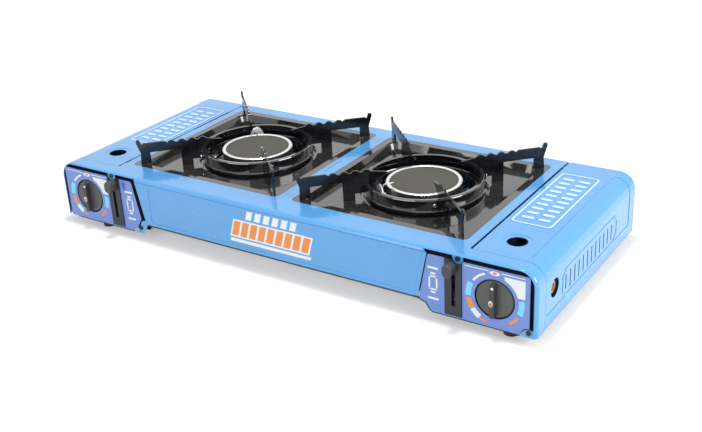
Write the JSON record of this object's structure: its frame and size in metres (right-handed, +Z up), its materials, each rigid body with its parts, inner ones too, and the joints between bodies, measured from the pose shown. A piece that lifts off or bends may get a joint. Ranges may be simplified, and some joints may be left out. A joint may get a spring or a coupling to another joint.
{
  "type": "portable butane cassette stove",
  "caption": "Low portable cassette stove with round infrared ceramic burners, drip trays, toothed pan supports, end lids over gas cartridge bays, knobs and lock levers.",
  "frame": {"origin": "on the table under the middle of the footprint, knobs and levers counted in", "axes": "+X to the right along the long side, -Y is the front with the knobs, +Z up"},
  "size_m": [0.66, 0.2968, 0.114],
  "materials": {
    "body_enamel": "gloss",
    "zinc_sheet": "satin",
    "foot_rubber": "matte",
    "bright_steel": "polished",
    "panel_plastic": "matte",
    "panel_label": "gloss",
    "knob_plastic": "satin",
    "lever_plastic": "satin",
    "die_cast_alloy": "cast",
    "inlet_brass": "machined",
    "pipe_alloy": "drawn",
    "burner_steel": "satin",
    "burner_ceramic": "matte",
    "ring_steel": "polished",
    "white_ceramic": "gloss",
    "hood_chrome": "polished",
    "piezo_plastic": "matte",
    "lead_rubber": "satin",
    "tray_enamel": "gloss",
    "support_enamel": "gloss",
    "rivet_steel": "polished"
  },
  "bodies": {
    "body": {"base_pan": "zinc_sheet", "bulkhead_left": "zinc_sheet", "bulkhead_right": "zinc_sheet", "burner_cup_left": "burner_steel", "burner_cup_right": "burner_steel", "cartridge_cradle_left": "zinc_sheet", "cartridge_cradle_right": "zinc_sheet", "ceramic_plate_left": "burner_ceramic", "ceramic_plate_right": "burner_ceramic", "clamp_ring_left": "ring_steel", "clamp_ring_right": "ring_steel", "control_panel_left": "panel_plastic", "control_panel_right": "panel_plastic", "electrode_left": "bright_steel", "electrode_right": "bright_steel", "feet": "foot_rubber", "gas_jet_left": "inlet_brass", "gas_jet_right": "inlet_brass", "gas_pipe_left": "pipe_alloy", "gas_pipe_right": "pipe_alloy", "hinge_rod_left": "bright_steel", "hinge_rod_right": "bright_steel", "hose_inlet_left": "inlet_brass", "hose_inlet_right": "inlet_brass", "housing": "body_enamel", "igniter_hood_left": "hood_chrome", "igniter_hood_right": "hood_chrome", "ignition_lead_left": "lead_rubber", "ignition_lead_right": "lead_rubber", "insulator_left": "white_ceramic", "insulator_right": "white_ceramic", "mixing_tube_left": "die_cast_alloy", "mixing_tube_right": "die_cast_alloy", "panel_overlay_left": "panel_label", "panel_overlay_right": "panel_label", "piezo_igniter_left": "piezo_plastic", "piezo_igniter_right": "piezo_plastic", "regulator_left": "die_cast_alloy", "regulator_right": "die_cast_alloy", "screws": "bright_steel", "yoke_spring_left": "bright_steel", "yoke_spring_right": "bright_steel"},
    "lid_left": {"lid_left": "body_enamel"},
    "knob_left": {"knob_left": "knob_plastic", "valve_shaft_left": "bright_steel"},
    "lever_left": {"lock_lever_left": "lever_plastic"},
    "yoke_left": {"lock_yoke_left": "zinc_sheet"},
    "tray_left": {"drip_tray_left": "tray_enamel"},
    "pan_support_left": {"windshield_ring_left": "support_enamel", "pan_arms_left": "support_enamel", "arm_rivets_left": "rivet_steel"},
    "lid_right": {"lid_right": "body_enamel"},
    "knob_right": {"knob_right": "knob_plastic", "valve_shaft_right": "bright_steel"},
    "lever_right": {"lock_lever_right": "lever_plastic"},
    "yoke_right": {"lock_yoke_right": "zinc_sheet"},
    "tray_right": {"drip_tray_right": "tray_enamel"},
    "pan_support_right": {"windshield_ring_right": "support_enamel", "pan_arms_right": "support_enamel", "arm_rivets_right": "rivet_steel"}
  },
  "joints": [
    {"name": "lid_hinge_left", "type": "hinge", "parent": "body", "child": "lid_left", "pos_m": [-0.25, 0, 0.0795], "axis": [0, 1, 0], "range_deg": [0, 90]},
    {"name": "knob_turn_left", "type": "hinge", "parent": "body", "child": "knob_left", "pos_m": [-0.2837, -0.14, 0.0433], "axis": [0, -1, 0], "range_deg": [0, 120]},
    {"name": "lever_slide_left", "type": "slide", "parent": "body", "child": "lever_left", "axis": [0, 0, -1], "range_m": [0, 0.032]},
    {"name": "yoke_slide_left", "type": "slide", "parent": "body", "child": "yoke_left", "axis": [0, -1, 0], "range_m": [0, 0.008], "deforming": ["yoke_spring_left"]},
    {"name": "tray_lift_left", "type": "slide", "parent": "body", "child": "tray_left", "axis": [0, 0, 1], "range_m": [0, 0.06]},
    {"name": "pan_support_lift_left", "type": "slide", "parent": "tray_left", "child": "pan_support_left", "axis": [0, 0, 1], "range_m": [0, 0.06]},
    {"name": "lid_hinge_right", "type": "hinge", "parent": "body", "child": "lid_right", "pos_m": [0.25, 0, 0.0795], "axis": [0, -1, 0], "range_deg": [0, 90]},
    {"name": "knob_turn_right", "type": "hinge", "parent": "body", "child": "knob_right", "pos_m": [0.2837, -0.14, 0.0433], "axis": [0, -1, 0], "range_deg": [0, 120]},
    {"name": "lever_slide_right", "type": "slide", "parent": "body", "child": "lever_right", "axis": [0, 0, -1], "range_m": [0, 0.032]},
    {"name": "yoke_slide_right", "type": "slide", "parent": "body", "child": "yoke_right", "axis": [0, -1, 0], "range_m": [0, 0.008], "deforming": ["yoke_spring_right"]},
    {"name": "tray_lift_right", "type": "slide", "parent": "body", "child": "tray_right", "axis": [0, 0, 1], "range_m": [0, 0.06]},
    {"name": "pan_support_lift_right", "type": "slide", "parent": "tray_right", "child": "pan_support_right", "axis": [0, 0, 1], "range_m": [0, 0.06]}
  ],
  "couplings": [
    {"joint": "yoke_slide_left", "follows": "lever_slide_left", "ratio": 0.25},
    {"joint": "yoke_slide_right", "follows": "lever_slide_right", "ratio": 0.25}
  ]
}
